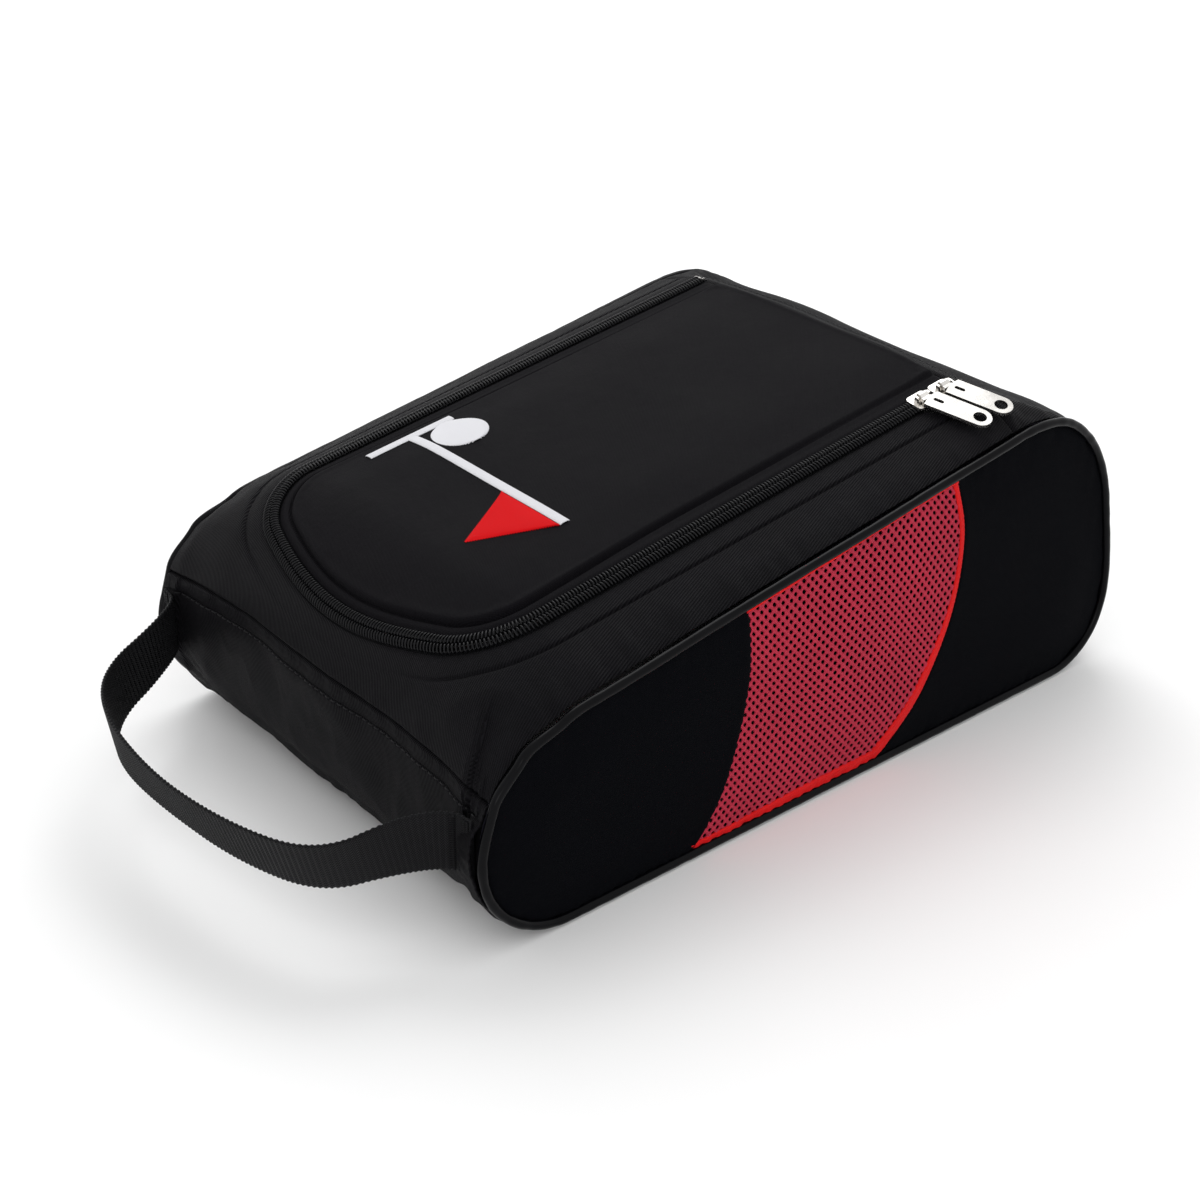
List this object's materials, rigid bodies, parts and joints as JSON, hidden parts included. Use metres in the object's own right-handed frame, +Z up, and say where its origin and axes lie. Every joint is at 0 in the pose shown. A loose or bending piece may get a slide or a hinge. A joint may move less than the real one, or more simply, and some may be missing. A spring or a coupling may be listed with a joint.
{
  "type": "golf shoe bag",
  "caption": "Wedge-shaped fabric bag for a pair of shoes, with a zipped lid, mesh side windows, piped edges and a webbing handle.",
  "frame": {"origin": "on the ground under the middle of the bag, half way along a side panel and half way across", "axes": "+X from the toe end (handle) to the heel end, +Y from the near side to the far side, +Z up"},
  "size_m": [0.4166, 0.228, 0.1462],
  "materials": {
    "oxford_black": "diagonal-weave polyester oxford, matt",
    "lid_fabric": "finer plain-weave polyester over foam, matt",
    "side_fabric": "tight-knit polyester, very dark, matt",
    "red_mesh": "knitted polyester mesh with round holes",
    "lining": "thin woven lining",
    "board": "polyethylene board",
    "foam": "closed-cell foam sheet",
    "piping_vinyl": "grained vinyl sleeve, slight gloss",
    "zip_tape": "woven zip tape",
    "zip_coil": "nylon coil, slight gloss",
    "nickel": "polished nickel plate",
    "webbing": "ribbed polyester webbing",
    "thread_white": "satin-stitch embroidery thread",
    "thread_red": "satin-stitch embroidery thread"
  },
  "bodies": {
    "bag": {"base_panel": "oxford_black", "toe_end_panel": "oxford_black", "top_surround": "oxford_black", "heel_panel": "oxford_black", "lid_heel_strip": "lid_fabric", "body_lining": "lining", "base_board": "board", "near_seam_binding": "lining", "far_seam_binding": "lining", "near_toe_side": "side_fabric", "near_mesh_window": "red_mesh", "near_heel_side": "side_fabric", "far_toe_side": "side_fabric", "far_mesh_window": "red_mesh", "far_heel_side": "side_fabric", "near_piping": "piping_vinyl", "far_piping": "piping_vinyl", "zipper_tape_body": "zip_tape", "zipper_coil_body": "zip_coil", "zipper_tape_tail": "zip_tape", "zipper_coil_tail": "zip_coil", "zipper_end_stops": "nickel", "near_handle_end": "webbing", "far_handle_end": "webbing"},
    "lid": {"lid_panel": "lid_fabric", "lid_foam": "foam", "lid_lining": "lining", "zipper_tape_lid": "zip_tape", "zipper_coil_lid": "zip_coil", "emblem_white": "thread_white", "emblem_red": "thread_red"},
    "handle": {"handle_webbing": "webbing"},
    "slider_rear": {"slider_rear": "nickel"},
    "slider_front": {"slider_front": "nickel"},
    "pull_rear": {"pull_rear": "nickel"},
    "pull_front": {"pull_front": "nickel"}
  },
  "joints": [
    {"name": "lid_hinge", "type": "hinge", "parent": "bag", "child": "lid", "pos_m": [0.071, 0, 0.14], "axis": [0, 1, 0], "range_deg": [0, 110]},
    {"name": "handle_swing", "type": "hinge", "parent": "bag", "child": "handle", "pos_m": [-0.193, 0, 0.0475], "axis": [0, 1, 0], "range_deg": [0, 75]},
    {"name": "rear_slider_travel", "type": "slide", "parent": "bag", "child": "slider_rear", "axis": [-0.9894, 0, -0.1455], "range_m": [0, 0.095]},
    {"name": "front_slider_travel", "type": "slide", "parent": "slider_rear", "child": "slider_front", "axis": [-0.9894, 0, -0.1455], "range_m": [0, 0.095]},
    {"name": "rear_pull_turn", "type": "hinge", "parent": "slider_rear", "child": "pull_rear", "pos_m": [0.08985, -0.07871, 0.14433], "axis": [-0.9894, 0, -0.1455], "range_deg": [0, 150]},
    {"name": "front_pull_turn", "type": "hinge", "parent": "slider_front", "child": "pull_front", "pos_m": [0.07735, -0.07872, 0.14249], "axis": [-0.9894, 0, -0.1455], "range_deg": [0, 150]}
  ]
}
